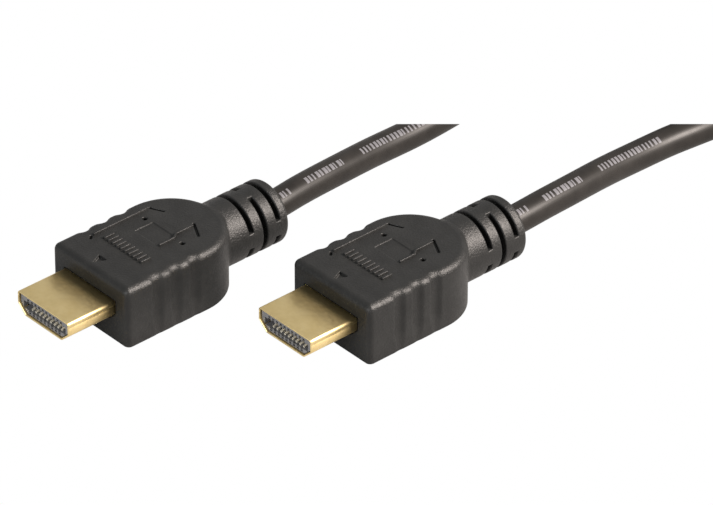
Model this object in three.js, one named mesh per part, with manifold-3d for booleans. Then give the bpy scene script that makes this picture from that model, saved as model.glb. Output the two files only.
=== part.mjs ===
// A digital video and audio lead: two moulded plugs joined by a round black cord.
// Millimetres, +Z up, the floor at z = 0. +Y runs from the plugs' mouths towards the cord, and +X across
// the plugs. The origin is on the floor, in the middle of the two plugs' common box.

import * as THREE from 'three';
import { mergeVertices } from 'three/addons/utils/BufferGeometryUtils.js';
import Module from 'manifold-3d';

const wasm = await Module();
wasm.setup();

// Shell, the folded metal tube at the front of a plug
const shellWidth = 13.9;
const shellHeight = 4.45;
const shellSideHeight = 2.55;
const shellBottomWidth = 9.8;
const shellWall = 0.35;
const shellCorner = 0.55;
const shellExposed = 10.5;
const shellInsertion = 4;

// Insulator inside the shell, with its mouth, its two rows of contact grooves and a window at the front of each
const insulatorRecess = 0.4;
const mouthWidth = 11.4;
const mouthHeight = 1.5;
const mouthDepth = 9;
const mouthDrop = 0.15;
const contactPitch = 1;
const upperContacts = 10;
const lowerContacts = 9;
const contactWidth = 0.45;
const contactThickness = 0.45;
const contactProud = 0.3;
const contactSetBack = 0.5;
const contactLength = 7.5;
const contactTipDrop = 0.18;
const contactTipLength = 0.6;
const windowWidth = 0.55;
const windowHeight = 0.36;
const windowDepth = 0.8;
const windowStep = 0.5;

// Overmould, the hood and its strain relief in one moulding
const hoodWidth = 20.4;
const hoodThickness = 12.2;
const axisBelowTop = 5.9;
const hoodSideLength = 18.3;
const hoodTopEdge = 1;
const hoodBottomEdge = 0.4;
const hoodFrontCorner = 1.1;
const fluteCount = 3;
const flutePitch = 4.2;
const fluteFirst = 7;
const fluteRadius = 2.3;
const fluteDepth = 0.5;
const reliefDiameter = 12.1;
const reliefLength = 12.2;
const reliefEdge = 0.8;
const slotCount = 3;
const slotPitch = 3.1;
const slotWidth = 1;
const slotEndDistance = 2.4;
const slotBridgeAngle = THREE.MathUtils.degToRad(30);
const boreInsertion = 10;

// Marks in the hood's top face, measured from the hood's front edge and from its middle line
const markDepth = 0.35;
const arrowWidth = 1.8;
const arrowLength = 2.1;
const arrowDistance = 2.2;
const tickCount = 8;
const tickPitch = 1.4;
const tickWidth = 0.3;
const tickLength = 1.9;
const tickDistance = 7.6;
const panelWidth = 6.1;
const panelLength = 4.1;
const panelDistance = 13.1;
const panelShift = -0.3;
const railWidth = 0.4;
const leftRail = { x: -7, from: 6.3, to: 19.1, hook: 2.2 };
const rightRail = { x: 3.1, from: 13.2, to: 21.2, hook: 2.2 };
const pinDiameter = 1;
const pinSpacing = 10.2;
const pinDistance = 16.8;
const pinDepth = 2.2;

// Cord
const cordDiameter = 5.5;
const cordSides = 10;

// Where the plugs lie: plug b is moved by this much from plug a
const plugSpacing = 31.4;
const plugStagger = 28.1;

// Hank, the cord folded into runs that are held by two ties
const hankMiddle = -7;
const hankNearCentre = 128;
const hankRun = 40;
const hankOuterRadius = 27.75;
const hankInnerRadius = 14;
const hankRows = 3;
const tieWidth = 10;
const tieThickness = 0.8;
const tieCorner = 1.5;

// Clearances
const seatGap = 0.2;
const insulatorGap = 0.15;
const contactGap = 0.1;
const cordGap = 0.3;
const leadEndGap = 1;

// How far a cutter runs past the face that it opens
const cutOverrun = 1;

// Sizes that follow
const axisHeight = hoodThickness - axisBelowTop;
const hoodFront = shellExposed;
const hoodHalf = hoodWidth / 2;
const hoodRoundCentre = hoodFront + hoodSideLength;
const hoodRear = hoodRoundCentre + hoodHalf;
const reliefRadius = reliefDiameter / 2;
const reliefAxis = reliefRadius;
const plugLength = hoodRear + reliefLength;
const cordRadius = cordDiameter / 2;
const boreRadius = cordRadius + cordGap;
const hankLift = tieThickness + cordGap;
const hankRowRise = cordDiameter * Math.sin(Math.PI / 3);
const hankHeight = cordDiameter + (hankRows - 1) * hankRowRise;
const plugA = new THREE.Vector3(-plugSpacing / 2, -(plugStagger + plugLength) / 2, 0);
const plugB = new THREE.Vector3(plugSpacing / 2, (plugStagger - plugLength) / 2, 0);

// Route of each cord lead, from inside its strain relief to the hank
const leadRouteA = [
  [-15.7, 1.9, 6.05],
  [-15.7, 11.6, 6.05],
  [-16.5, 17.6, 6],
  [-17.2, 22.9, 5.7],
  [-17.95, 28.3, 5.2],
  [-18.9, 34, 4.5],
  [-19.8, 39.5, 3.8],
  [-20.3, 43.6, 3.3],
  [-20.7, 50, 2.85],
  [-21.1, 57, 2.8],
  [-21.9, 65, 2.8],
  [-23.3, 73, 2.8],
  [-25.3, 81, 2.8],
  [-27.4, 89, 2.8],
  [-29.4, 97, 2.95],
  [-31.1, 104, 3.35],
  [-31.8, 109.6, 3.7],
];
const leadRouteB = [
  [15.7, 29.9, 6.05],
  [15.7, 39.6, 6.05],
  [15.45, 45, 6],
  [15, 50.1, 5.85],
  [14.45, 55.4, 5.45],
  [13.6, 61.1, 4.85],
  [12.7, 66.8, 4.15],
  [12.05, 72.3, 3.45],
  [11.7, 77.6, 3],
  [11.65, 82.3, 2.85],
  [12.2, 87.5, 2.85],
  [13.5, 94, 3.3],
  [15.2, 99.5, 4.2],
  [16.7, 104.5, 5.45],
  [17.6, 109.2, 6.9],
];

// Materials
function finish(color, roughness, metalness) {
  return new THREE.MeshStandardMaterial({ color, roughness, metalness });
}
const goldPlate = () => finish(0xc9ab5e, 0.25, 1);
const blackPlastic = () => finish(0x1b1b1c, 0.5, 0);
const blackMoulding = () => finish(0x2b2b2a, 0.6, 0);
const blackJacket = () => finish(0x262524, 0.45, 0);
const blackStrap = () => finish(0x161616, 0.9, 0);

// Turns a closed geometry into a solid that can be joined and cut
function solidOf(geometry) {
  const bare = geometry.clone();
  bare.deleteAttribute('normal');
  bare.deleteAttribute('uv');
  const merged = mergeVertices(bare, 1e-4);
  return new wasm.Manifold(new wasm.Mesh({
    numProp: 3,
    vertProperties: new Float32Array(merged.attributes.position.array),
    triVerts: new Uint32Array(merged.index.array),
  }));
}

function geometryOf(solid) {
  const mesh = solid.getMesh();
  const geometry = new THREE.BufferGeometry();
  geometry.setAttribute('position', new THREE.BufferAttribute(mesh.vertProperties, mesh.numProp));
  geometry.setIndex(new THREE.BufferAttribute(mesh.triVerts, 1));
  geometry.computeVertexNormals();
  return geometry;
}

// Moves every side of a convex outline inwards by the distance, or outwards where it is negative
function inset(points, distance) {
  const count = points.length;
  const sides = points.map((point, i) => {
    const next = points[(i + 1) % count];
    const along = next.clone().sub(point).normalize();
    const inwards = new THREE.Vector2(-along.y, along.x);
    return { start: point.clone().addScaledVector(inwards, distance), along };
  });
  return sides.map((side, i) => {
    const before = sides[(i + count - 1) % count];
    const offset = side.start.clone().sub(before.start);
    const reach = offset.cross(side.along) / before.along.cross(side.along);
    return before.start.clone().addScaledVector(before.along, reach);
  });
}

// A closed outline through the points, with each corner rounded off
function roundedShape(points, radius) {
  const shape = new THREE.Shape();
  const count = points.length;
  points.forEach((corner, i) => {
    const before = points[(i + count - 1) % count];
    const after = points[(i + 1) % count];
    const entry = corner.clone().add(before.clone().sub(corner).setLength(radius));
    const exit = corner.clone().add(after.clone().sub(corner).setLength(radius));
    if (i === 0) shape.moveTo(entry.x, entry.y);
    else shape.lineTo(entry.x, entry.y);
    shape.quadraticCurveTo(corner.x, corner.y, exit.x, exit.y);
  });
  shape.closePath();
  return shape;
}

function rectangle(width, height, x = 0, y = 0) {
  const across = width / 2;
  const up = height / 2;
  return [
    new THREE.Vector2(x - across, y - up),
    new THREE.Vector2(x + across, y - up),
    new THREE.Vector2(x + across, y + up),
    new THREE.Vector2(x - across, y + up),
  ];
}

// A prism along +Y of an outline drawn in x and z
function prism(shape, start, length, curveSegments = 4) {
  const geometry = new THREE.ExtrudeGeometry(shape, { depth: length, bevelEnabled: false, curveSegments });
  geometry.rotateX(Math.PI / 2);
  geometry.translate(0, start + length, 0);
  return geometry;
}

// A prism along +Z of an outline drawn in x and y
function column(shape, bottom, height, curveSegments = 12) {
  const geometry = new THREE.ExtrudeGeometry(shape, { depth: height, bevelEnabled: false, curveSegments });
  geometry.translate(0, 0, bottom);
  return geometry;
}

// The shell's outline seen from the mouth: flat top, upright sides, sloping shoulders, narrow bottom
function shellOutline() {
  const top = axisHeight + shellHeight / 2;
  const bottom = axisHeight - shellHeight / 2;
  return [
    new THREE.Vector2(-shellBottomWidth / 2, bottom),
    new THREE.Vector2(shellBottomWidth / 2, bottom),
    new THREE.Vector2(shellWidth / 2, top - shellSideHeight),
    new THREE.Vector2(shellWidth / 2, top),
    new THREE.Vector2(-shellWidth / 2, top),
    new THREE.Vector2(-shellWidth / 2, top - shellSideHeight),
  ];
}

function shellGeometry() {
  const outer = roundedShape(shellOutline(), shellCorner);
  outer.holes.push(roundedShape(inset(shellOutline(), shellWall), shellCorner - shellWall / 2));
  return prism(outer, 0, shellExposed + shellInsertion);
}

// Middles of a row of contacts, across the plug
function contactPlaces(count) {
  return Array.from({ length: count }, (_, i) => (i - (count - 1) / 2) * contactPitch);
}
const contactRows = [
  { name: 'upper', side: 1, places: contactPlaces(upperContacts) },
  { name: 'lower', side: -1, places: contactPlaces(lowerContacts) },
];
const mouthMiddle = axisHeight - mouthDrop;

function insulatorGeometry() {
  const body = inset(shellOutline(), shellWall + insulatorGap);
  const length = shellExposed + shellInsertion - insulatorRecess;
  let solid = solidOf(prism(roundedShape(body, shellCorner / 2), insulatorRecess, length));
  const mouth = new THREE.Shape(rectangle(mouthWidth, mouthHeight, 0, mouthMiddle));
  solid = solid.subtract(solidOf(prism(mouth, 0, insulatorRecess + mouthDepth)));
  const grooveWidth = contactWidth + 2 * contactGap;
  const grooveDepth = contactThickness - contactProud + contactGap;
  for (const { side, places } of contactRows) {
    const wall = mouthMiddle + side * mouthHeight / 2;
    for (const x of places) {
      const groove = new THREE.Shape(rectangle(grooveWidth, 2 * grooveDepth, x, wall));
      solid = solid.subtract(solidOf(prism(groove, 0, insulatorRecess + mouthDepth)));
      const window = new THREE.Shape(rectangle(windowWidth, windowHeight, x, wall + side * windowStep));
      solid = solid.subtract(solidOf(prism(window, 0, insulatorRecess + windowDepth)));
    }
  }
  return geometryOf(solid);
}

// A contact strip that lies in its groove, with a tip bent back into it
function contactGeometry(side, x) {
  const wall = mouthMiddle + side * mouthHeight / 2;
  const inner = wall - side * contactProud;
  const outer = inner + side * contactThickness;
  const start = insulatorRecess + contactSetBack;
  const tip = start + contactTipLength;
  const end = start + contactLength;
  const points = [
    new THREE.Vector2(start, outer),
    new THREE.Vector2(start, inner + side * contactTipDrop),
    new THREE.Vector2(tip, inner),
    new THREE.Vector2(end, inner),
    new THREE.Vector2(end, outer),
  ];
  const geometry = new THREE.ExtrudeGeometry(new THREE.Shape(points), {
    depth: contactWidth,
    bevelEnabled: false,
  });
  // The outline's first axis becomes y and its second z, and the strip's width runs along x
  geometry.rotateZ(Math.PI / 2);
  geometry.rotateY(Math.PI / 2);
  geometry.translate(x - contactWidth / 2, 0, 0);
  return geometry;
}

// The hood's outline seen from above, drawn in by the distance: square front corners rounded, rear half round
function hoodOutline(distance) {
  const corner = hoodFront + hoodFrontCorner;
  const right = Math.PI / 2;
  const arcs = [
    { x: 0, y: hoodRoundCentre, radius: hoodHalf, from: 0, turn: Math.PI, steps: 28 },
    { x: hoodFrontCorner - hoodHalf, y: corner, radius: hoodFrontCorner, from: Math.PI, turn: right, steps: 4 },
    { x: hoodHalf - hoodFrontCorner, y: corner, radius: hoodFrontCorner, from: -right, turn: right, steps: 4 },
  ];
  return arcs.flatMap(({ x, y, radius, from, turn, steps }) => Array.from({ length: steps + 1 }, (_, i) => {
    const angle = from + (turn * i) / steps;
    const reach = radius - distance;
    return new THREE.Vector2(x + reach * Math.cos(angle), y + reach * Math.sin(angle));
  }));
}

// A closed body through a stack of outlines that have the same number of points
function stacked(layers) {
  const count = layers[0].points.length;
  const positions = layers.flatMap(({ points, z }) => points.flatMap((point) => [point.x, point.y, z]));
  const index = [];
  for (let layer = 0; layer < layers.length - 1; layer += 1) {
    for (let i = 0; i < count; i += 1) {
      const a = layer * count + i;
      const b = layer * count + ((i + 1) % count);
      index.push(a, b, b + count, a, b + count, a + count);
    }
  }
  const last = (layers.length - 1) * count;
  for (const [a, b, c] of THREE.ShapeUtils.triangulateShape(layers[0].points, [])) index.push(c, b, a);
  for (const [a, b, c] of THREE.ShapeUtils.triangulateShape(layers.at(-1).points, [])) {
    index.push(last + a, last + b, last + c);
  }
  const geometry = new THREE.BufferGeometry();
  geometry.setAttribute('position', new THREE.Float32BufferAttribute(positions, 3));
  geometry.setIndex(index);
  return geometry;
}

// The hood's block with its top and bottom edges rounded
function hoodSolid() {
  const steps = 3;
  const rounding = (radius) => Array.from({ length: steps + 1 }, (_, i) => {
    const angle = (Math.PI / 2) * (i / steps);
    return { points: hoodOutline(radius * (1 - Math.sin(angle))), rise: radius * (1 - Math.cos(angle)) };
  });
  const lower = rounding(hoodBottomEdge).map(({ points, rise }) => ({ points, z: rise }));
  const upper = rounding(hoodTopEdge).map(({ points, rise }) => ({ points, z: hoodThickness - rise }));
  return solidOf(stacked([...lower, ...upper.reverse()]));
}

// Flutes for the fingers in both sides of the hood, which run out towards its bottom face
function cutFlutes(solid) {
  for (const side of [-1, 1]) {
    for (let i = 0; i < fluteCount; i += 1) {
      const flute = new THREE.CylinderGeometry(fluteRadius, fluteRadius, 3 * hoodThickness, 24);
      flute.rotateX(Math.PI / 2);
      flute.rotateY(-side * Math.atan(fluteDepth / hoodThickness));
      flute.translate(side * (hoodHalf + fluteRadius), hoodFront + fluteFirst + i * flutePitch, 0);
      solid = solid.subtract(solidOf(flute));
    }
  }
  return solid;
}

// The strain relief as a turned body that starts inside the hood
function reliefSolid() {
  const start = hoodRoundCentre;
  const end = plugLength;
  const rounding = 4;
  const profile = [new THREE.Vector2(0, start), new THREE.Vector2(reliefRadius, start)];
  for (let i = 0; i <= rounding; i += 1) {
    const angle = (Math.PI / 2) * (i / rounding);
    const radius = reliefRadius - reliefEdge * (1 - Math.cos(angle));
    profile.push(new THREE.Vector2(radius, end - reliefEdge * (1 - Math.sin(angle))));
  }
  profile.push(new THREE.Vector2(0, end));
  const geometry = new THREE.LatheGeometry(profile, 36);
  geometry.translate(0, 0, reliefAxis);
  return solidOf(geometry);
}

// One slot: a part of a ring, drawn in x and z about the cord's axis
function slotShape(middle) {
  const half = (Math.PI - slotBridgeAngle) / 2;
  const inner = boreRadius - cordGap / 2;
  const outer = reliefRadius + seatGap;
  const shape = new THREE.Shape();
  shape.absarc(0, reliefAxis, outer, middle - half, middle + half, false);
  shape.absarc(0, reliefAxis, inner, middle + half, middle - half, true);
  shape.closePath();
  return shape;
}

// Rings of slots that let the relief bend, with the bridges turned a quarter from ring to ring
function cutSlots(solid) {
  for (let i = 0; i < slotCount; i += 1) {
    const place = plugLength - slotEndDistance - (slotCount - 1 - i) * slotPitch - slotWidth / 2;
    const first = i % 2 === 0 ? Math.PI / 2 : 0;
    for (const middle of [first, first + Math.PI]) {
      solid = solid.subtract(solidOf(prism(slotShape(middle), place, slotWidth, 16)));
    }
  }
  return solid;
}

function cutSeats(solid) {
  const pocket = new THREE.Shape(inset(shellOutline(), -seatGap));
  const pocketLength = shellInsertion + seatGap + cutOverrun;
  solid = solid.subtract(solidOf(prism(pocket, hoodFront - cutOverrun, pocketLength)));
  const boreLength = boreInsertion + cutOverrun;
  const bore = new THREE.CylinderGeometry(boreRadius, boreRadius, boreLength, 24);
  bore.translate(0, plugLength - boreInsertion + boreLength / 2, reliefAxis);
  return solid.subtract(solidOf(bore));
}

// A shallow mark sunk into the hood's top face
function sunk(shape, depth = markDepth) {
  return solidOf(column(shape, hoodThickness - depth, 2 * depth));
}

// A low mark that stands on the hood's top face
function raised(points) {
  return solidOf(column(new THREE.Shape(points), hoodThickness - markDepth, 1.5 * markDepth));
}

function circleShape(radius, x, y) {
  const shape = new THREE.Shape();
  shape.absarc(x, y, radius, 0, 2 * Math.PI);
  return shape;
}

function markTop(solid) {
  const arrowTip = hoodFront + arrowDistance;
  const arrow = new THREE.Shape([
    new THREE.Vector2(0, arrowTip),
    new THREE.Vector2(arrowWidth / 2, arrowTip + arrowLength),
    new THREE.Vector2(-arrowWidth / 2, arrowTip + arrowLength),
  ]);
  solid = solid.subtract(sunk(arrow));
  const panelY = hoodFront + panelDistance + panelLength / 2;
  solid = solid.subtract(sunk(new THREE.Shape(rectangle(panelWidth, panelLength, panelShift, panelY))));
  for (const side of [-1, 1]) {
    const pin = circleShape(pinDiameter / 2, side * pinSpacing / 2, hoodFront + pinDistance);
    solid = solid.subtract(sunk(pin, pinDepth));
  }
  for (let i = 0; i < tickCount; i += 1) {
    const x = (i - (tickCount - 1) / 2) * tickPitch;
    solid = solid.add(raised(rectangle(tickWidth, tickLength, x, hoodFront + tickDistance + tickLength / 2)));
  }
  for (const rail of [leftRail, rightRail]) {
    const length = rail.to - rail.from;
    const middle = hoodFront + (rail.from + rail.to) / 2;
    solid = solid.add(raised(rectangle(railWidth, length, rail.x, middle)));
    const hookY = hoodFront + rail.to - railWidth / 2;
    solid = solid.add(raised(rectangle(rail.hook, railWidth, rail.x + rail.hook / 2, hookY)));
  }
  return solid;
}

function overmouldGeometry() {
  let solid = cutFlutes(hoodSolid());
  solid = markTop(solid);
  solid = solid.add(reliefSolid());
  solid = cutSlots(solid);
  return geometryOf(cutSeats(solid));
}

// A cord lead as a plain tube along its route
function leadGeometry(route) {
  const path = new THREE.CatmullRomCurve3(route.map((point) => new THREE.Vector3(...point)));
  const section = new THREE.Shape();
  for (let i = 0; i < cordSides; i += 1) {
    const angle = (2 * Math.PI * i) / cordSides;
    const point = [cordRadius * Math.cos(angle), cordRadius * Math.sin(angle)];
    if (i === 0) section.moveTo(...point);
    else section.lineTo(...point);
  }
  section.closePath();
  const steps = Math.ceil(path.getLength() / (1.5 * cordDiameter));
  return new THREE.ExtrudeGeometry(section, { extrudePath: path, steps, bevelEnabled: false });
}

// A stadium outline round the hank's two bend centres
function stadium(radius, Kind) {
  const shape = new Kind();
  const far = hankNearCentre + hankRun;
  shape.moveTo(hankMiddle + radius, hankNearCentre);
  shape.lineTo(hankMiddle + radius, far);
  shape.absarc(hankMiddle, far, radius, 0, Math.PI, false);
  shape.lineTo(hankMiddle - radius, hankNearCentre);
  shape.absarc(hankMiddle, hankNearCentre, radius, Math.PI, 2 * Math.PI, false);
  return shape;
}

// The hank as one closed body, with a flat stub on each side where a lead meets it
function hankGeometry() {
  const outline = stadium(hankOuterRadius, THREE.Shape);
  outline.holes.push(stadium(hankInnerRadius, THREE.Path));
  let solid = solidOf(column(outline, hankLift, hankHeight));
  const leads = [
    { x: hankMiddle - hankOuterRadius + cordRadius, end: leadRouteA.at(-1) },
    { x: hankMiddle + hankOuterRadius - cordRadius, end: leadRouteB.at(-1) },
  ];
  for (const { x, end } of leads) {
    const near = end[1] + leadEndGap;
    const bottom = Math.max(hankLift, end[2] - cordRadius);
    const stub = rectangle(cordDiameter, hankNearCentre - near, x, (hankNearCentre + near) / 2);
    solid = solid.add(solidOf(column(new THREE.Shape(stub), bottom, cordDiameter)));
  }
  return geometryOf(solid);
}

// A strap round one run of the hank
function tieGeometry(side) {
  const runWidth = hankOuterRadius - hankInnerRadius;
  const x = hankMiddle + side * (hankOuterRadius + hankInnerRadius) / 2;
  const z = hankLift + hankHeight / 2;
  const inner = rectangle(runWidth + 2 * cordGap, hankHeight + 2 * cordGap, x, z);
  const outer = roundedShape(inset(inner, -tieThickness), tieCorner);
  outer.holes.push(new THREE.Path(inner));
  return prism(outer, hankNearCentre + (hankRun - tieWidth) / 2, tieWidth);
}

function named(name, geometry, material) {
  const mesh = new THREE.Mesh(geometry, material);
  mesh.name = name;
  return mesh;
}

function makePlug(letter) {
  const plug = new THREE.Group();
  plug.add(named(`plug_${letter}_shell`, shellGeometry(), goldPlate()));
  plug.add(named(`plug_${letter}_insulator`, insulatorGeometry(), blackPlastic()));
  for (const { name, side, places } of contactRows) {
    places.forEach((x, i) => {
      const label = `plug_${letter}_${name}_contact_${String(i + 1).padStart(2, '0')}`;
      plug.add(named(label, contactGeometry(side, x), goldPlate()));
    });
  }
  plug.add(named(`plug_${letter}_overmould`, overmouldGeometry(), blackMoulding()));
  return plug;
}

const lead = new THREE.Group();
for (const [letter, place] of [['a', plugA], ['b', plugB]]) {
  const plug = makePlug(letter);
  plug.position.copy(place);
  lead.add(plug);
}
lead.add(named('cord_lead_a', leadGeometry(leadRouteA), blackJacket()));
lead.add(named('cord_lead_b', leadGeometry(leadRouteB), blackJacket()));
lead.add(named('cord_hank', hankGeometry(), blackJacket()));
lead.add(named('tie_left', tieGeometry(-1), blackStrap()));
lead.add(named('tie_right', tieGeometry(1), blackStrap()));

export default lead;
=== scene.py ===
"""The looks of a video and audio lead with two moulded plugs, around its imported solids. Metres, +Z up."""
import math

import bmesh
import bpy
import numpy as np
from mathutils import Matrix, Vector


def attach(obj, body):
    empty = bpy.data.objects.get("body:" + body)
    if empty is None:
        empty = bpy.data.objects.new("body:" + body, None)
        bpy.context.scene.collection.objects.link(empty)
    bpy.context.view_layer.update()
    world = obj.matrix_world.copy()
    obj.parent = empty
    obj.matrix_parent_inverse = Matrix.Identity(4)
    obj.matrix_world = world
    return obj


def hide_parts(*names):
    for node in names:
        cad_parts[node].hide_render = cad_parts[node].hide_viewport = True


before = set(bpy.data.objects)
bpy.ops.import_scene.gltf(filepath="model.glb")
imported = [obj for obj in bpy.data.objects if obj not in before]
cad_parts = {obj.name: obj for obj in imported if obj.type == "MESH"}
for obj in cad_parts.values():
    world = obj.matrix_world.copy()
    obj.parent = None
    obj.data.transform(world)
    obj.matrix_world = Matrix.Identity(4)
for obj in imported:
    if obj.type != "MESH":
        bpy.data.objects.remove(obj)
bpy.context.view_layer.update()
MM = 0.001

# Plug: sizes in millimetres, measured from the middle of its mouth on the floor
AXIS_HEIGHT = 6.3
PLUG_LENGTH = 51.2
PLUG_SPACING = 31.4
PLUG_STAGGER = 28.1
PLUGS = {
    "a": (-PLUG_SPACING / 2, -(PLUG_STAGGER + PLUG_LENGTH) / 2),
    "b": (PLUG_SPACING / 2, (PLUG_STAGGER - PLUG_LENGTH) / 2),
}
SHELL_WIDTH = 13.9
SHELL_HEIGHT = 4.45
SHELL_SIDE = 2.55
SHELL_BOTTOM = 9.8
SHELL_WALL = 0.35
SHELL_CORNER = 0.55
SHELL_LENGTH = 14.5
CREASE_DROP = 0.95
CREASE_WIDTH = 0.3
CREASE_DEPTH = 0.12
CREASE_STARTS = [(SHELL_WIDTH / 2, SHELL_HEIGHT / 2 - SHELL_SIDE), (-SHELL_WIDTH / 2, SHELL_HEIGHT / 2)]
HOOD_FRONT = 10.5
HOOD_HALF = 10.2
HOOD_ROUND_CENTRE = 28.8
HOOD_THICKNESS = 12.2
HOOD_TOP_EDGE = 1.4
HOOD_BOTTOM_EDGE = 0.4
HOOD_CORNER = 1.1
FLUTES = [HOOD_FRONT + 7 + 4.2 * i for i in range(3)]
FLUTE_RADIUS = 1.7
FLUTE_DEPTH = 0.5
FLUTE_EDGE = 0.3
FLUTE_RUN_OUT = 4.5
RELIEF_RADIUS = 6.05
RELIEF_AXIS = RELIEF_RADIUS
RELIEF_EDGE = 0.8
NECK_FILLET = 0.5
SLOT_PITCH = 3.1
SLOT_WIDTH = 1.0
SLOT_END = 2.4
SLOT_EDGE = 0.18
SLOT_OVERLAP = 0.15
SLOT_BRIDGE = math.radians(30)
SLOTS = [PLUG_LENGTH - SLOT_END - SLOT_PITCH * (2 - i) for i in range(3)]
BORE_RADIUS = 3.05
BORE_DEPTH = 10.0
BORE_EDGE = 0.25
SEAT_GAP = 0.05
POCKET_EDGE = 0.08

# Marks on the hood's top face: places across and along it, from its middle line and its front edge
MARK_DEPTH = 0.5
MARK_EDGE = 0.06
ARROW_PLACE = (-0.7, 1.4)
ARROW_LENGTH = 2.3
ARROW_HALF = 1.05
PANEL_PLACE = (-0.3, 15.15)
PANEL_HALF = (3.05, 2.05)
PANEL_DEPTH = 0.14
PIN_PLACE = (5.1, 16.8)
PIN_RADIUS = 0.5
PIN_DEPTH = 2.2
GROOVES = [((1.8, 22.2), (5.2, 20.4)), ((-7.1, 19.6), (-4.7, 20.8)), ((-7.1, 6.3), (-6.6, 5.8))]
GROOVE_WIDTH = 0.5
RAILS = [[(-7.1, 6.9), (-7.1, 19.1)], [(3.1, 13.3), (3.1, 16.6), (2.3, 17.7), (2.3, 21.5)]]
BAR_WIDTH = 0.4
BAR_HEIGHT = 0.4
BAR_EDGE = 0.1
TICKS = 10
TICK_PITCH = 1.1
TICK_LENGTH = 2.0
TICK_WIDTH = 0.55
TICK_PLACE = 8.55

# Cord
CORD_DIAMETER = 5.5
CORD_RADIUS = CORD_DIAMETER / 2
HANK_MIDDLE = -7.0
HANK_NEAR = 128.0
HANK_RUN = 40.0
HANK_LIFT = 1.1
HANK_OUTER = 27.75
HANK_INNER = 14.0
ROW_RISE = CORD_DIAMETER * math.sin(math.pi / 3)
TURNS = [(25.0, 0), (19.5, 0), (16.75, 1), (22.25, 1), (19.5, 2), (25.0, 2)]  # radius and row of each
CROSSINGS = [(0.65, 1.0), (0.55, 0.88), (0.40, 0.75), (0.25, 0.60), (0.08, 0.45)]  # shares of a half turn
HANK_ENTRY = [(-32.0, 119, 3.85)]
HANK_CLIMB = [(17.95, 115, 8.75), (18, 121, 10.7)]
LINE_SPACING = 2.0
CORD_SIDES = 28
TIE_WIDTH = 10.0
TIE_THICKNESS = 0.8
TIE_GAP = 0.3
TIE_CORNER = 1.1
TIE_EDGE = 0.2
TIE_LAP_RISE = 1.05 * TIE_THICKNESS
LEAD_ROUTE_A = [
    (-15.7, 1.9, 6.05), (-15.7, 11.6, 6.05), (-16.5, 17.6, 6), (-17.2, 22.9, 5.7),
    (-17.95, 28.3, 5.2), (-18.9, 34, 4.5), (-19.8, 39.5, 3.8), (-20.3, 43.6, 3.3),
    (-20.7, 50, 2.85), (-21.1, 57, 2.8), (-21.9, 65, 2.8), (-23.3, 73, 2.8),
    (-25.3, 81, 2.8), (-27.4, 89, 2.8), (-29.4, 97, 2.95), (-31.1, 104, 3.35),
    (-31.8, 109.6, 3.7),
]
LEAD_ROUTE_B = [
    (15.7, 29.9, 6.05), (15.7, 39.6, 6.05), (15.45, 45, 6), (15, 50.1, 5.85),
    (14.45, 55.4, 5.45), (13.6, 61.1, 4.85), (12.7, 66.8, 4.15), (12.05, 72.3, 3.45),
    (11.7, 77.6, 3), (11.65, 82.3, 2.85), (12.2, 87.5, 2.85), (13.5, 94, 3.3),
    (15.2, 99.5, 4.2), (16.7, 104.5, 5.45), (17.6, 109.2, 6.9),
]

# Plain bars printed on the jacket: places along the cord, and how far round it they sit
PRINT_START = 8.8
PRINT_REPEAT = 62.0
PRINT_GROUPS = [(3.0, 5.2), (9.5, 19.7), (24.6, 41.5)]
PRINT_PITCH = 0.95
PRINT_HEIGHT = 1.3
PRINT_TURN = 62.3 / 360
PRINT_INK = (0.17, 0.17, 0.185)

# Camera: a long lens, so that the view is nearly without perspective, as in the photograph
IMAGE_WIDTH = 713
IMAGE_HEIGHT = 505
VIEW_AZIMUTH = math.radians(48.7)
VIEW_ELEVATION = math.radians(34.4)
VIEW_DISTANCE = 1.2
PIXELS_PER_MM = 5.805
MOUTH_PIXEL = (284.7, 334.5)  # middle of plug b's mouth in the photograph
BAND_PIXEL = 124  # lower edge of the photograph's white band, which cuts the cord off
SENSOR_MM = 36.0
CLIP = (0.002, 10.0)
CARD_DISTANCE = 0.02

# Stage: two white sheets, each with its height, glow, albedo and whether the camera sees it, and the lights
SHEETS = {
    "floor": (-0.0003, 0.12, 0.28, False),
    "ground": (-0.0002, 1.0, 0.0, True),
}
SHEET_HALF = 4.0
WORLD_STRENGTH = 0.45
LIGHT_TARGET = (0, 0.02, 0)
LIGHTS = {
    "key": {"place": (0.70, 0.56, 0.68), "size": (0.36, 0.32), "power": 40, "color": (1.0, 0.9, 0.83)},
    "front": {"place": (0.1, -0.9, 0.3), "size": (0.3, 0.3), "power": 6, "color": (1, 1, 1)},
}
OTHER_RAYS = ("diffuse", "glossy", "transmission", "volume_scatter", "shadow")

# Meshing: the cell of the moulding's surface, and how its points settle on it
FINE_CELL = 0.16
SLOPE_SHIFT = 0.1
LEAST_SLOPE = 0.25
FURTHEST_MOVE = 0.5


def look():
    """The image's right, up and backward directions in the scene."""
    right = Vector((math.cos(VIEW_AZIMUTH), math.sin(VIEW_AZIMUTH), 0))
    level = math.cos(VIEW_ELEVATION)
    back = Vector((
        math.sin(VIEW_AZIMUTH) * level,
        -math.cos(VIEW_AZIMUTH) * level,
        math.sin(VIEW_ELEVATION),
    ))
    return right, back.cross(right), back


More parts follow.
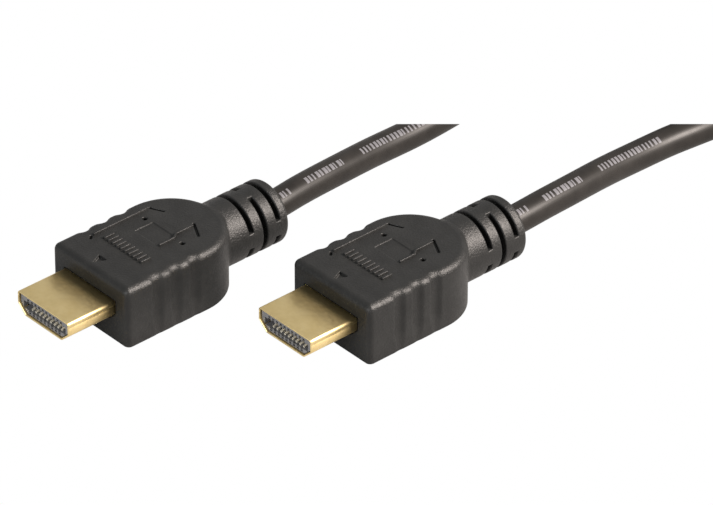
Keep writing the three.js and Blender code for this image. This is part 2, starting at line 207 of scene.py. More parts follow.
def make_camera():
    right, up, back = look()
    x, y = PLUGS["b"]
    mouth = Vector((x, y, AXIS_HEIGHT)) * MM
    aside = (IMAGE_WIDTH / 2 - MOUTH_PIXEL[0]) / PIXELS_PER_MM * MM
    above = (MOUTH_PIXEL[1] - IMAGE_HEIGHT / 2) / PIXELS_PER_MM * MM
    aim = mouth + right * aside + up * above
    data = bpy.data.cameras.new("camera")
    data.sensor_width = SENSOR_MM
    data.lens = PIXELS_PER_MM * VIEW_DISTANCE / MM / IMAGE_WIDTH * SENSOR_MM
    data.clip_start, data.clip_end = CLIP
    camera = bpy.data.objects.new("camera", data)
    bpy.context.collection.objects.link(camera)
    turn = Matrix((right, up, back)).transposed().to_4x4()
    camera.matrix_world = Matrix.Translation(aim + back * VIEW_DISTANCE) @ turn
    bpy.context.scene.camera = camera
    return camera


def new_object(name, data):
    made = bpy.data.objects.new(name, data)
    bpy.context.collection.objects.link(made)
    return made


def mesh_from(name, points, faces, smooth=True):
    mesh = bpy.data.meshes.new(name)
    mesh.from_pydata([tuple(p) for p in points], [], [tuple(f) for f in faces])
    mesh.update()
    if smooth:
        mesh.polygons.foreach_set("use_smooth", [True] * len(mesh.polygons))
    return mesh


# Smooth curves

def catmull(points, spacing):
    """A smooth line through the points, with a point about every spacing."""
    p = np.array(points, float)
    p = np.vstack([2 * p[0] - p[1], p, 2 * p[-1] - p[-2]])
    out = []
    for i in range(1, len(p) - 2):
        a, b, c, d = p[i - 1:i + 3]
        steps = max(2, round(float(np.linalg.norm(c - b)) / spacing))
        for t in np.arange(steps) / steps:
            out.append(0.5 * (2 * b + (c - a) * t + (2 * a - 5 * b + 4 * c - d) * t ** 2
                              + (3 * b - a - 3 * c + d) * t ** 3))
    out.append(p[-2])
    return np.array(out)


def smoothstep(t):
    t = np.clip(t, 0, 1)
    return t * t * (3 - 2 * t)


def hank_points():
    """The cord's turns in the hank, from where lead a enters to where lead b leaves."""
    far = HANK_NEAR + HANK_RUN
    low = HANK_LIFT + CORD_RADIUS
    points = []
    for i, (radius, row) in enumerate(TURNS):
        z = low + row * ROW_RISE
        for y in np.arange(HANK_NEAR, far, LINE_SPACING):
            points.append((HANK_MIDDLE - radius, y, z))
        steps = round(math.pi * radius / LINE_SPACING)
        for angle in np.linspace(math.pi, 0, steps, endpoint=False):
            points.append((HANK_MIDDLE + radius * math.cos(angle), far + radius * math.sin(angle), z))
        for y in np.arange(far, HANK_NEAR, -LINE_SPACING):
            points.append((HANK_MIDDLE + radius, y, z))
        if i + 1 == len(TURNS):
            break
        next_radius, next_row = TURNS[i + 1]
        start, end = CROSSINGS[i]
        for t in np.linspace(0, 1, steps, endpoint=False):
            share = float(smoothstep((t - start) / (end - start)))
            r = radius + (next_radius - radius) * share
            rise = low + (row + (next_row - row) * share) * ROW_RISE
            angle = -math.pi * t
            points.append((HANK_MIDDLE + r * math.cos(angle), HANK_NEAR + r * math.sin(angle), rise))
    last_radius, last_row = TURNS[-1]
    points.append((HANK_MIDDLE + last_radius, HANK_NEAR, low + last_row * ROW_RISE))
    return np.array(points)


def cord_line():
    """The whole cord's middle line in millimetres, from inside plug a to inside plug b."""
    hank = hank_points()
    first = catmull(LEAD_ROUTE_A + HANK_ENTRY + [tuple(hank[0])], LINE_SPACING)
    last = catmull(LEAD_ROUTE_B + HANK_CLIMB + [tuple(hank[-1])], LINE_SPACING)[::-1]
    line = np.vstack([first[:-1], hank[:-1], last])
    kernel = np.array([1, 2, 3, 2, 1]) / 9
    ends = np.vstack([np.repeat(line[:1], 2, 0), line, np.repeat(line[-1:], 2, 0)])
    smooth = np.array([np.convolve(ends[:, k], kernel, "valid") for k in range(3)]).T
    return np.vstack([line[:3], smooth[3:-3], line[-3:]])


def line_length(line):
    return float(np.linalg.norm(np.diff(line, axis=0), axis=1).sum())


def tube(name, line, radius, sides=CORD_SIDES):
    """A round tube with closed ends along a line in metres. Its UV map runs in metres, along and around."""
    along = np.gradient(line, axis=0)
    along /= np.linalg.norm(along, axis=1)[:, None]
    travelled = np.concatenate([[0], np.cumsum(np.linalg.norm(np.diff(line, axis=0), axis=1))])
    points = []
    for p, t in zip(line, along):
        up = Vector((0, 0, 1))
        t = Vector(t)
        across = t.cross(up).normalized()
        over = across.cross(t)
        for k in range(sides):
            angle = 2 * math.pi * k / sides
            points.append(Vector(p) + (across * math.cos(angle) + over * math.sin(angle)) * radius)
    faces = []
    for i in range(len(line) - 1):
        for k in range(sides):
            a = i * sides + k
            b = i * sides + (k + 1) % sides
            faces.append((a, a + sides, b + sides, b))
    faces.append(tuple(range(sides)))
    faces.append(tuple(range(len(points) - sides, len(points)))[::-1])
    mesh = mesh_from(name, points, faces)
    layer = mesh.uv_layers.new(name="along")
    sides_count = (len(line) - 1) * sides
    for face in mesh.polygons[:sides_count]:
        ring, k = divmod(face.index, sides)
        corners = [(ring, k), (ring + 1, k), (ring + 1, k + 1), (ring, k + 1)]
        for loop, (r, s) in zip(face.loop_indices, corners):
            layer.data[loop].uv = (travelled[r], s / sides)
    return mesh


# Distance fields for the moulded pieces, in millimetres. Each returns how far a point is outside the form.

def rounded(first, second, radius):
    """Where two distances both have to be below zero, with the edge between them rounded."""
    a = first + radius
    b = second + radius
    return np.hypot(np.maximum(a, 0), np.maximum(b, 0)) + np.minimum(np.maximum(a, b), 0) - radius


def joined(a, b, radius):
    """Two forms as one, with a fillet between them."""
    h = np.clip(0.5 + 0.5 * (b - a) / radius, 0, 1)
    return b + (a - b) * h - radius * h * (1 - h)


def cut(a, b, radius):
    """The first form without the second, with the new edge rounded."""
    return -joined(-a, b, radius)


def hood_outline(x, y, z):
    """The hood from above. Its flutes run out towards the bottom face."""
    side = np.abs(x) - (HOOD_HALF - HOOD_CORNER)
    front = HOOD_FRONT + HOOD_CORNER - y
    box = np.hypot(np.maximum(side, 0), np.maximum(front, 0)) + np.minimum(np.maximum(side, front), 0)
    dome = np.hypot(x, y - HOOD_ROUND_CENTRE) - HOOD_HALF
    flat = np.where(y > HOOD_ROUND_CENTRE, dome, box - HOOD_CORNER)
    depth = FLUTE_DEPTH * smoothstep(z / FLUTE_RUN_OUT)
    for place in FLUTES:
        reach = np.hypot(np.abs(x) - (HOOD_HALF + FLUTE_RADIUS - depth), y - place)
        flat = cut(flat, reach - FLUTE_RADIUS, FLUTE_EDGE)
    return flat


def slot_field(x, y, z, place, bridge):
    """One ring of slots in the strain relief. The bridges lie at the angle bridge and across from it."""
    radius = np.hypot(x, z)
    lean = np.abs(x * math.sin(bridge) - z * math.cos(bridge))
    half_bridge = RELIEF_RADIUS * math.sin(SLOT_BRIDGE / 2)
    wide = np.abs(y - place) - SLOT_WIDTH / 2
    inner = BORE_RADIUS - SLOT_OVERLAP - radius
    return np.maximum(np.maximum(wide, inner), half_bridge - lean)


def shell_profile(x, z, outwards):
    """The shell's D-shaped outline, moved outwards."""
    top = SHELL_HEIGHT / 2
    shoulder = top - SHELL_SIDE
    run = SHELL_WIDTH / 2 - SHELL_BOTTOM / 2
    drop = shoulder + SHELL_HEIGHT / 2
    slope = math.hypot(run, drop)
    lean = (drop * (np.abs(x) - SHELL_BOTTOM / 2) - run * (z + SHELL_HEIGHT / 2)) / slope
    sides = np.maximum(np.abs(x) - SHELL_WIDTH / 2, lean)
    return np.maximum(np.maximum(z - top, -SHELL_HEIGHT / 2 - z), sides) - outwards


def overmould_field(x, y, z):
    """The hood and strain relief as one moulding."""
    outline = hood_outline(x, y, z)
    upper = rounded(outline, z - HOOD_THICKNESS, HOOD_TOP_EDGE)
    body = np.maximum(upper, rounded(outline, -z, HOOD_BOTTOM_EDGE))
    up = z - RELIEF_AXIS
    middle = (HOOD_ROUND_CENTRE + PLUG_LENGTH) / 2
    half = (PLUG_LENGTH - HOOD_ROUND_CENTRE) / 2
    relief = rounded(np.hypot(x, up) - RELIEF_RADIUS, np.abs(y - middle) - half, RELIEF_EDGE)
    for i, place in enumerate(SLOTS):
        bridge = 0.0 if i % 2 == 0 else math.pi / 2
        relief = cut(relief, slot_field(x, y, up, place, bridge), SLOT_EDGE)
    body = joined(body, relief, NECK_FILLET)
    seat = shell_profile(x, z - AXIS_HEIGHT, SEAT_GAP)
    pocket = np.maximum(seat, y - (SHELL_LENGTH + SEAT_GAP))
    body = cut(body, pocket, POCKET_EDGE)
    bore = np.maximum(np.hypot(x, up) - BORE_RADIUS, PLUG_LENGTH - BORE_DEPTH - y)
    body = cut(body, bore, BORE_EDGE)
    for mark in sunk_marks(x, y, z):
        body = cut(body, mark, MARK_EDGE)
    return body


def sunk_marks(x, y, z):
    """Marks sunk into the hood's top face: an arrow, a panel, two pin holes and three short grooves."""
    along = y - HOOD_FRONT
    depth = HOOD_THICKNESS - MARK_DEPTH - z
    middle, tip = ARROW_PLACE
    slant = math.hypot(ARROW_HALF, ARROW_LENGTH)
    sides = (ARROW_LENGTH * np.abs(x - middle) - ARROW_HALF * (along - tip)) / slant
    arrow = np.maximum(sides, along - (tip + ARROW_LENGTH))
    yield np.maximum(arrow, depth)
    beside = np.abs(x - PANEL_PLACE[0]) - PANEL_HALF[0]
    panel = np.maximum(beside, np.abs(along - PANEL_PLACE[1]) - PANEL_HALF[1])
    yield np.maximum(panel, HOOD_THICKNESS - PANEL_DEPTH - z)
    pin = np.hypot(np.abs(x) - PIN_PLACE[0], along - PIN_PLACE[1]) - PIN_RADIUS
    yield np.maximum(pin, HOOD_THICKNESS - PIN_DEPTH - z)
    for (ax, ay), (bx, by) in GROOVES:
        share = ((x - ax) * (bx - ax) + (along - ay) * (by - ay)) / ((bx - ax) ** 2 + (by - ay) ** 2)
        share = np.clip(share, 0, 1)
        reach = np.hypot(x - ax - share * (bx - ax), along - ay - share * (by - ay))
        yield np.maximum(reach - GROOVE_WIDTH / 2, depth)


def surface(field, low, high, step):
    """The surface where a distance field is zero, with one point in each cell that it crosses."""
    axes = [np.arange(a, b + step, step) for a, b in zip(low, high)]
    x, y, z = np.meshgrid(*axes, indexing="ij")
    value = field(x, y, z).astype(np.float32)
    inside = value < 0
    cells = np.array(value.shape) - 1
    total = np.zeros((*cells, 3), np.float32)
    count = np.zeros(cells, np.float32)
    crossings = []
    for axis in range(3):
        near = [slice(None)] * 3
        far = [slice(None)] * 3
        near[axis] = slice(0, -1)
        far[axis] = slice(1, None)
        a, b = value[tuple(near)], value[tuple(far)]
        crosses = inside[tuple(near)] != inside[tuple(far)]
        share = np.where(crosses, a / np.where(crosses, a - b, 1), 0)
        crossings.append((axis, crosses))
        others = [k for k in range(3) if k != axis]
        for i in (0, 1):
            for j in (0, 1):
                part = [slice(None)] * 3
                part[others[0]] = slice(i, i + cells[others[0]])
                part[others[1]] = slice(j, j + cells[others[1]])
                hit = crosses[tuple(part)]
                count += hit
                total[..., axis] += np.where(hit, share[tuple(part)], 0)
                total[..., others[0]] += i * hit
                total[..., others[1]] += j * hit
    used = count > 0
    index = np.full(tuple(cells), -1, np.int64)
    index[used] = np.arange(used.sum())
    corner = np.argwhere(used)
    points = (corner + total[used] / count[used][:, None]) * step + np.array(low)
    faces = []
    for axis, crosses in crossings:
        others = [k for k in range(3) if k != axis]
        keep = [slice(None)] * 3
        for k in others:
            keep[k] = slice(1, -1)
        where = np.argwhere(crosses[tuple(keep)])
        for k in others:
            where[:, k] += 1
        quad = []
        for i, j in ((0, 0), (1, 0), (1, 1), (0, 1)):
            cell = where.copy()
            cell[:, others[0]] -= 1 - i
            cell[:, others[1]] -= 1 - j
            quad.append(index[tuple(cell.T)])
        quad = np.stack(quad, 1)
        flip = inside[tuple(where.T)]
        if axis == 1:
            flip = ~flip
        quad[~flip] = quad[~flip][:, ::-1]
        faces.append(quad)
    return settled(field, points, step), np.vstack(faces)


def settled(field, points, step):
    """Moves each point along the field's slope onto its surface."""
    tiny = step * SLOPE_SHIFT
    for _ in range(2):
        value = field(*points.T)
        slope = np.stack([
            (field(*(points + shift).T) - field(*(points - shift).T)) / (2 * tiny)
            for shift in np.eye(3) * tiny
        ], 1)
        steepness = np.maximum((slope ** 2).sum(1), LEAST_SLOPE)
        move = -value[:, None] * slope / steepness[:, None]
        size = np.maximum(np.linalg.norm(move, axis=1), 1e-9)
        points = points + move * np.minimum(1, FURTHEST_MOVE * step / size)[:, None]
    return points


# Pieces

def overmould_mesh():
    step = FINE_CELL
    low = (-HOOD_HALF - 2 * step, HOOD_FRONT - 2 * step, -2 * step)
    high = (HOOD_HALF + 2 * step, PLUG_LENGTH + 2 * step, HOOD_THICKNESS + 2 * step)
    points, faces = surface(overmould_field, low, high, step)
    return mesh_from("overmould", points * MM, faces)


def bar(start, end, width=BAR_WIDTH):
    """A low bar with rounded edges that stands on the hood's top face between two places."""
    (ax, ay), (bx, by) = start, end
    made = bmesh.new()
    bmesh.ops.create_cube(made, size=1)
    length = math.hypot(bx - ax, by - ay) + width / 2
    bmesh.ops.scale(made, vec=Vector((width, length, 2 * BAR_HEIGHT)) * MM, verts=made.verts)
    bmesh.ops.bevel(made, geom=made.edges[:], offset=BAR_EDGE * MM, segments=2, affect="EDGES", profile=0.5)
    turn = Matrix.Rotation(math.atan2(ax - bx, by - ay), 3, "Z")
    bmesh.ops.rotate(made, cent=(0, 0, 0), matrix=turn, verts=made.verts)
    middle = Vector(((ax + bx) / 2, HOOD_FRONT + (ay + by) / 2, HOOD_THICKNESS)) * MM
    bmesh.ops.translate(made, vec=middle, verts=made.verts)
    return made


def marks_mesh():
    """The raised marks on the hood's top face: a row of ticks and two rails."""
    bars = []
    for i in range(TICKS):
        x = (i - (TICKS - 1) / 2) * TICK_PITCH
        start, end = TICK_PLACE - TICK_LENGTH / 2, TICK_PLACE + TICK_LENGTH / 2
        bars.append(bar((x, start), (x, end), TICK_WIDTH))
    for rail in RAILS:
        bars += [bar(a, b) for a, b in zip(rail, rail[1:])]
    whole = bmesh.new()
    for made in bars:
        part = bpy.data.meshes.new("part")
        made.to_mesh(part)
        whole.from_mesh(part)
        made.free()
        bpy.data.meshes.remove(part)
    mesh = bpy.data.meshes.new("marks")
    whole.to_mesh(mesh)
    whole.free()
    mesh.polygons.foreach_set("use_smooth", [True] * len(mesh.polygons))
    return mesh


def shell_ring(outwards, steps=6):
    """Points of the shell's outline in x and z, moved outwards, with round corners."""
    top, bottom = SHELL_HEIGHT / 2, -SHELL_HEIGHT / 2
    half, foot = SHELL_WIDTH / 2, SHELL_BOTTOM / 2
    shoulder = top - SHELL_SIDE
    corners = [(-foot, bottom), (foot, bottom), (half, shoulder)]
    corners += [(half, top), (-half, top), (-half, shoulder)]
    count = len(corners)
    lines = []
    for i, (ax, az) in enumerate(corners):
        bx, bz = corners[(i + 1) % count]
        length = math.hypot(bx - ax, bz - az)
        nx, nz = (bz - az) / length, -(bx - ax) / length
        lines.append((nx, nz, nx * ax + nz * az + outwards))
    radius = SHELL_CORNER + outwards
    ring = []
    for i in range(count):
        nx, nz, c = lines[i - 1]
        mx, mz, d = lines[i]
        det = nx * mz - nz * mx
        cx = ((c - radius) * mz - nz * (d - radius)) / det
        cz = (nx * (d - radius) - (c - radius) * mx) / det
        start = math.atan2(nz, nx)
        turn = (math.atan2(mz, mx) - start) % (2 * math.pi)
        for k in range(steps + 1):
            angle = start + turn * k / steps
            ring.append((cx + radius * math.cos(angle), cz + radius * math.sin(angle)))
        if corners[i] in CREASE_STARTS:
            side = math.copysign(1, corners[i][0])
            depth = CREASE_DEPTH if outwards > -SHELL_WALL else 0
            for rise, inwards in ((-1, 0), (0, depth), (1, 0)):
                z = top - CREASE_DROP + side * rise * CREASE_WIDTH / 2
                ring.append((side * (half + outwards - inwards), z))
    return ring


def shell_mesh():
    """The folded metal tube, with a rounded lip at its mouth."""
    lip = SHELL_WALL / 2
    lip_steps = 6
    rings = [(SHELL_LENGTH, -SHELL_WALL), (lip, -SHELL_WALL)]
    for k in range(1, lip_steps):
        angle = math.pi * k / lip_steps
        rings.append((lip * (1 - math.sin(angle)), -lip - lip * math.cos(angle)))
    rings += [(lip, 0.0), (SHELL_LENGTH, 0.0)]
    points = []
    for y, outwards in rings:
        for x, z in shell_ring(outwards):
            points.append((x * MM, y * MM, (z + AXIS_HEIGHT) * MM))
    count = len(points) // len(rings)
    faces = []
    for r in range(len(rings)):
        s = (r + 1) % len(rings)
        for k in range(count):
            m = (k + 1) % count
            faces.append((r * count + k, s * count + k, s * count + m, r * count + m))
    return mesh_from("shell", points, faces)


def strap_path(side):
    """Places and outward directions in x and z, round one side of the hank. The end laps over the start."""
    half_width = (HANK_OUTER - HANK_INNER) / 2 + TIE_GAP + TIE_THICKNESS / 2
    half_height = (CORD_DIAMETER + 2 * ROW_RISE) / 2 + TIE_GAP + TIE_THICKNESS / 2
    middle_x = HANK_MIDDLE + side * (HANK_OUTER + HANK_INNER) / 2
    middle_z = HANK_LIFT + CORD_RADIUS + ROW_RISE
    steps = 6
    ring = []
    for across, up, first in ((1, -1, -90), (1, 1, 0), (-1, 1, 90), (-1, -1, 180)):
        for step in range(steps + 1):
            angle = math.radians(first + 90 * step / steps)
            out_x, out_z = math.cos(angle), math.sin(angle)
            x = middle_x + across * (half_width - TIE_CORNER) + TIE_CORNER * out_x
            z = middle_z + up * (half_height - TIE_CORNER) + TIE_CORNER * out_z
            ring.append((x, z, out_x, out_z))
    start = steps + 1 + steps // 2
    end = 3 * (steps + 1)
    rise_steps = steps // 2
    path = []
    for i, (x, z, out_x, out_z) in enumerate(ring[start:] + ring[:end]):
        lift = TIE_LAP_RISE * float(smoothstep((i - len(ring) + rise_steps) / rise_steps))
        path.append((x + out_x * lift, z + out_z * lift, out_x, out_z))
    return path


def strap_mesh(side):
    """A hook-and-loop strap: a flat band with rounded edges."""
    half, thick, edge = TIE_WIDTH / 2, TIE_THICKNESS / 2, TIE_EDGE
    section = [(half - edge, thick), (half, thick - edge), (half, edge - thick), (half - edge, -thick)]
    section += [(-y, n) for y, n in reversed(section)]
    middle = HANK_NEAR + HANK_RUN / 2
    points = []
    for x, z, out_x, out_z in strap_path(side):
        points += [(x + out_x * n, middle + y, z + out_z * n) for y, n in section]
    count = len(section)
    rings = len(points) // count
    faces = [tuple(range(count))[::-1], tuple(range((rings - 1) * count, rings * count))]
    for r in range(rings - 1):
        for k in range(count):
            m = (k + 1) % count
            faces.append((r * count + k, r * count + m, (r + 1) * count + m, (r + 1) * count + k))
    mesh = mesh_from(f"strap_{side}", np.array(points) * MM, faces)
    check = bmesh.new()
    check.from_mesh(mesh)
    bmesh.ops.recalc_face_normals(check, faces=check.faces)
    check.to_mesh(mesh)
    check.free()
    return mesh


def place_plug_piece(name, data, letter):
    piece = new_object(name, data)
    x, y = PLUGS[letter]
    piece.location = (x * MM, y * MM, 0)
    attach(piece, "root")
    return piece


# Materials

MIX_FACTOR, MIX_FIRST, MIX_SECOND, MIX_RESULT = 0, 6, 7, 2  # sockets of a colour mix, which share names


class Nodes:
    """Short names for building one node material."""

    def __init__(self, name):
        self.material = bpy.data.materials.new(name)
        self.material.use_nodes = True
        self.tree = self.material.node_tree
        self.tree.nodes.clear()
        self.output = self.add("ShaderNodeOutputMaterial")
        self.shader = self.add("ShaderNodeBsdfPrincipled")
        self.link(self.shader.outputs["BSDF"], self.output.inputs["Surface"])

    def add(self, kind, **values):
        node = self.tree.nodes.new(kind)
        for key, value in values.items():
            if hasattr(node, key):
                setattr(node, key, value)
            else:
                node.inputs[key].default_value = value
        return node

    def link(self, a, b):
        self.tree.links.new(a, b)

    def math(self, operation, *values):
        node = self.add("ShaderNodeMath", operation=operation)
        for socket, value in zip(node.inputs, values):
            if isinstance(value, (int, float)):
                socket.default_value = value
            else:
                self.link(value, socket)
        return node.outputs["Value"]

    def object_space(self):
        """The object's own coordinates in millimetres."""
        place = self.add("ShaderNodeTexCoord")
        mapping = self.add("ShaderNodeMapping")
        mapping.inputs["Scale"].default_value = (1 / MM, 1 / MM, 1 / MM)
        self.link(place.outputs["Object"], mapping.inputs["Vector"])
        return mapping.outputs["Vector"]

    def noise(self, vector, scale, detail=4.0, roughness=0.6):
        node = self.add("ShaderNodeTexNoise")
        node.inputs["Scale"].default_value = scale
        node.inputs["Detail"].default_value = detail
        node.inputs["Roughness"].default_value = roughness
        self.link(vector, node.inputs["Vector"])
        return node.outputs["Fac"]

    def ramp(self, fac, stops):
        node = self.add("ShaderNodeValToRGB")
        ramp = node.color_ramp
        while len(ramp.elements) < len(stops):
            ramp.elements.new(0.5)
        for element, (place, color) in zip(ramp.elements, stops):
            element.position = place
            element.color = (*color, 1)
        self.link(fac, node.inputs["Fac"])
        return node.outputs["Color"]

    def spread(self, fac, low, high):
        node = self.add("ShaderNodeMapRange")
        node.inputs["To Min"].default_value = low
        node.inputs["To Max"].default_value = high
        self.link(fac, node.inputs["Value"])
        return node.outputs["Result"]

    def bump(self, height, strength, distance):
        node = self.add("ShaderNodeBump")
        node.inputs["Strength"].default_value = strength
        node.inputs["Distance"].default_value = distance
        self.link(height, node.inputs["Height"])
        return node.outputs["Normal"]

    def feed(self, socket, value):
        self.link(value, self.shader.inputs[socket])

    def fix(self, socket, value):
        self.shader.inputs[socket].default_value = value


def moulded_black():
    """Satin black moulding compound with a fine grain."""
    m = Nodes("moulded_black")
    space = m.object_space()
    grain = m.noise(space, 2.6, 4.0, 0.65)
    clouds = m.noise(space, 0.25, 3.0)
    tones = [(0.3, (0.0085, 0.0087, 0.0085)), (0.7, (0.0135, 0.0138, 0.0135))]
    m.feed("Base Color", m.ramp(clouds, tones))
    m.feed("Roughness", m.spread(m.noise(space, 1.3, 4.0), 0.31, 0.52))
    m.feed("Normal", m.bump(grain, 0.85, 0.00013))
    m.fix("Specular IOR Level", 0.32)
    return m.material


def cord_black(length):
    """Smooth black jacket with a row of plain printed bars along it, which starts anew at each end."""
    m = Nodes("cord_black")
    space = m.object_space()
    clouds = m.noise(space, 0.3, 3.0)
    base = m.ramp(clouds, [(0.3, (0.011, 0.010, 0.009)), (0.7, (0.017, 0.0155, 0.014))])
    uv = m.add("ShaderNodeUVMap", uv_map="along")
    split = m.add("ShaderNodeSeparateXYZ")
    m.link(uv.outputs["UV"], split.inputs["Vector"])
    along, around = split.outputs["X"], split.outputs["Y"]
    from_end = m.math("MINIMUM", along, m.math("SUBTRACT", length, along))
    second_half = m.math("GREATER_THAN", along, length / 2)
    row = m.math("MULTIPLY_ADD", second_half, 0.5 - 2 * PRINT_TURN, PRINT_TURN)
    off_row = m.math("ABSOLUTE", m.math("SUBTRACT", around, row))
    in_row = m.math("LESS_THAN", off_row, PRINT_HEIGHT / (math.pi * CORD_DIAMETER) / 2)
    place = m.math("MODULO", m.math("SUBTRACT", from_end, PRINT_START * MM), PRINT_REPEAT * MM)
    groups = None
    for start, end in PRINT_GROUPS:
        after = m.math("GREATER_THAN", place, start * MM)
        before = m.math("LESS_THAN", place, end * MM)
        group = m.math("MULTIPLY", after, before)
        groups = m.math("MAXIMUM", groups, group) if groups else group
    count = m.math("DIVIDE", place, PRINT_PITCH * MM)
    odd = m.add("ShaderNodeTexWhiteNoise", noise_dimensions="1D")
    m.link(m.math("FLOOR", count), odd.inputs["W"])
    share = m.math("MULTIPLY_ADD", odd.outputs["Value"], 0.5, 0.35)
    bars = m.math("LESS_THAN", m.math("FRACT", count), share)
    ink = m.math("MULTIPLY", m.math("MULTIPLY", groups, bars), in_row)
    worn = m.math("MULTIPLY", ink, m.spread(m.noise(space, 2.5, 3.0), 0.35, 0.95))
    mix = m.add("ShaderNodeMix", data_type="RGBA")
    m.link(worn, mix.inputs[MIX_FACTOR])
    m.link(base, mix.inputs[MIX_FIRST])
    mix.inputs[MIX_SECOND].default_value = (*PRINT_INK, 1)
    m.fix("Specular IOR Level", 0.2)
    m.feed("Base Color", mix.outputs[MIX_RESULT])
    m.feed("Roughness", m.spread(m.noise(space, 0.9, 4.0), 0.34, 0.46))
    drawn = m.add("ShaderNodeMapping")
    drawn.inputs["Scale"].default_value = (60, 90, 1)
    m.link(uv.outputs["UV"], drawn.inputs["Vector"])
    m.feed("Normal", m.bump(m.noise(drawn.outputs["Vector"], 1.0, 3.0), 0.12, 0.00008))
    return m.material


def gold():
    """Bright gold plating, faintly brushed along the shell and a little uneven."""
    m = Nodes("gold_plate")
    space = m.object_space()
    clouds = m.noise(space, 0.35, 3.0)
    m.feed("Base Color", m.ramp(clouds, [(0.3, (0.80, 0.63, 0.30)), (0.7, (0.90, 0.73, 0.38))]))
    m.fix("Metallic", 1.0)
    m.feed("Roughness", m.spread(m.noise(space, 1.6, 5.0), 0.34, 0.48))
    m.feed("Normal", m.bump(m.noise(space, 3.0, 3.0), 0.05, 0.00004))
    return m.material


def contact_gold():
    """Pale, bright plating on the contact strips."""
    m = Nodes("contact_gold")
    space = m.object_space()
    tones = [(0.3, (0.93, 0.86, 0.70)), (0.7, (1.0, 0.95, 0.82))]
    m.feed("Base Color", m.ramp(m.noise(space, 2.0, 3.0), tones))
    m.fix("Metallic", 0.7)
    m.feed("Roughness", m.spread(m.noise(space, 3.0, 3.0), 0.35, 0.5))
    m.feed("Normal", m.bump(m.noise(space, 6.0, 2.0), 0.1, 0.00002))
    return m.material


def insulator_black():
    """Grey-black plastic round the contacts, a little lighter than the moulding."""
    m = Nodes("insulator_black")
    space = m.object_space()
    tones = [(0.3, (0.12, 0.12, 0.125)), (0.7, (0.17, 0.17, 0.175))]
    m.feed("Base Color", m.ramp(m.noise(space, 0.8, 2.0), tones))
    m.feed("Roughness", m.spread(m.noise(space, 2.0, 3.0), 0.35, 0.5))
    m.feed("Normal", m.bump(m.noise(space, 5.0, 2.0), 0.1, 0.00003))
    return m.material


def strap_black():
    """Matt black hook-and-loop fabric with a coarse nap."""
    m = Nodes("strap_black")
    space = m.object_space()
    tones = [(0.3, (0.010, 0.010, 0.010)), (0.7, (0.024, 0.024, 0.025))]
    m.feed("Base Color", m.ramp(m.noise(space, 3.0, 2.0), tones))
    m.feed("Roughness", m.spread(m.noise(space, 3.0, 2.0), 0.75, 0.95))
    m.feed("Normal", m.bump(m.noise(space, 4.0, 4.0), 0.7, 0.0002))
    m.fix("Sheen Weight", 0.3)
    return m.material


# Stage

def white(name, strength, albedo):
    material = bpy.data.materials.new(name)
    material.use_nodes = True
    shader = material.node_tree.nodes["Principled BSDF"]
    shader.inputs["Base Color"].default_value = (albedo, albedo, albedo, 1)
    shader.inputs["Roughness"].default_value = 0.9
    shader.inputs["Specular IOR Level"].default_value = 0.0
    shader.inputs["Emission Color"].default_value = (1, 1, 1, 1)
    shader.inputs["Emission Strength"].default_value = strength
    return material


def only_for_camera(piece, alone):
    """Shows a piece to the camera's rays alone, or to all other rays alone."""
    piece.visible_camera = alone
    for ray in OTHER_RAYS:
        setattr(piece, f"visible_{ray}", not alone)


def make_floor():
    """A white floor that lights the part, and just above it the clean white ground that the camera sees."""
    half = SHEET_HALF
    for name, (height, glow, albedo, seen) in SHEETS.items():
        corners = [(-half, -half, height), (half, -half, height), (half, half, height), (-half, half, height)]
        sheet = new_object(name, mesh_from(name, corners, [(0, 1, 2, 3)], smooth=False))
        sheet.data.materials.append(white(f"{name}_white", glow, albedo))
        only_for_camera(sheet, seen)


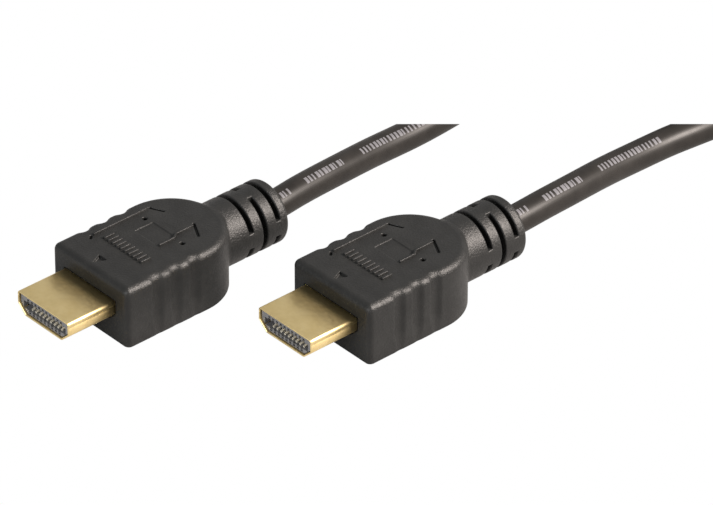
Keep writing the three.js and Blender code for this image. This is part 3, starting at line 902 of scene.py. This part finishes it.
def make_band(camera):
    """A small white card close before the lens. It covers the band that is blank in the photograph."""
    pixel = CARD_DISTANCE / (PIXELS_PER_MM * VIEW_DISTANCE / MM)
    left = -IMAGE_WIDTH * pixel
    top = IMAGE_HEIGHT * pixel
    bottom = (IMAGE_HEIGHT / 2 - BAND_PIXEL) * pixel
    corners = [(left, bottom), (-left, bottom), (-left, top), (left, top)]
    points = [camera.matrix_world @ Vector((x, y, -CARD_DISTANCE)) for x, y in corners]
    card = new_object("card", mesh_from("card", points, [(0, 1, 2, 3)], smooth=False))
    card.data.materials.append(white("card_white", 1.0, 0.0))
    only_for_camera(card, True)


def area_light(name, place, size, power, color):
    data = bpy.data.lights.new(name, "AREA")
    data.shape = "RECTANGLE"
    data.size, data.size_y = size
    data.energy = power
    data.color = color
    light = new_object(name, data)
    light.location = place
    light.rotation_euler = (Vector(LIGHT_TARGET) - Vector(place)).to_track_quat("-Z", "Y").to_euler()


def make_light():
    world = bpy.data.worlds.new("world")
    world.use_nodes = True
    background = world.node_tree.nodes["Background"]
    background.inputs["Color"].default_value = (1, 1, 1, 1)
    background.inputs["Strength"].default_value = WORLD_STRENGTH
    bpy.context.scene.world = world
    for name, values in LIGHTS.items():
        area_light(name, **values)
    view = bpy.context.scene.view_settings
    view.view_transform = "Standard"
    view.look = "None"


# Assembly

camera = make_camera()
make_band(camera)

line = cord_line() * MM
cord = new_object("cord", tube("cord", line, CORD_RADIUS * MM))
cord.data.materials.append(cord_black(line_length(line)))
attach(cord, "root")
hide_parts("cord_lead_a", "cord_lead_b", "cord_hank")

gold_plate = gold()
contact_plate = contact_gold()
insulator_plastic = insulator_black()
moulding = moulded_black()

shell_data = shell_mesh()
shell_data.materials.append(gold_plate)
overmould_data = overmould_mesh()
overmould_data.materials.append(moulding)
marks_data = marks_mesh()
marks_data.materials.append(moulding)
for letter in PLUGS:
    shell = place_plug_piece(f"shell_{letter}", shell_data, letter)
    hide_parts(f"plug_{letter}_shell")
    overmould = place_plug_piece(f"overmould_{letter}", overmould_data, letter)
    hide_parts(f"plug_{letter}_overmould")
    marks = place_plug_piece(f"marks_{letter}", marks_data, letter)

for name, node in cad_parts.items():
    if "contact" in name:
        finish = contact_plate
    elif "insulator" in name:
        finish = insulator_plastic
    else:
        continue
    for slot in node.material_slots:
        slot.material = finish

strap_fabric = strap_black()
for name, side in (("left", -1), ("right", 1)):
    strap = new_object(f"strap_{name}", strap_mesh(side))
    strap.data.materials.append(strap_fabric)
    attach(strap, "root")
    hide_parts(f"tie_{name}")

make_floor()
make_light()
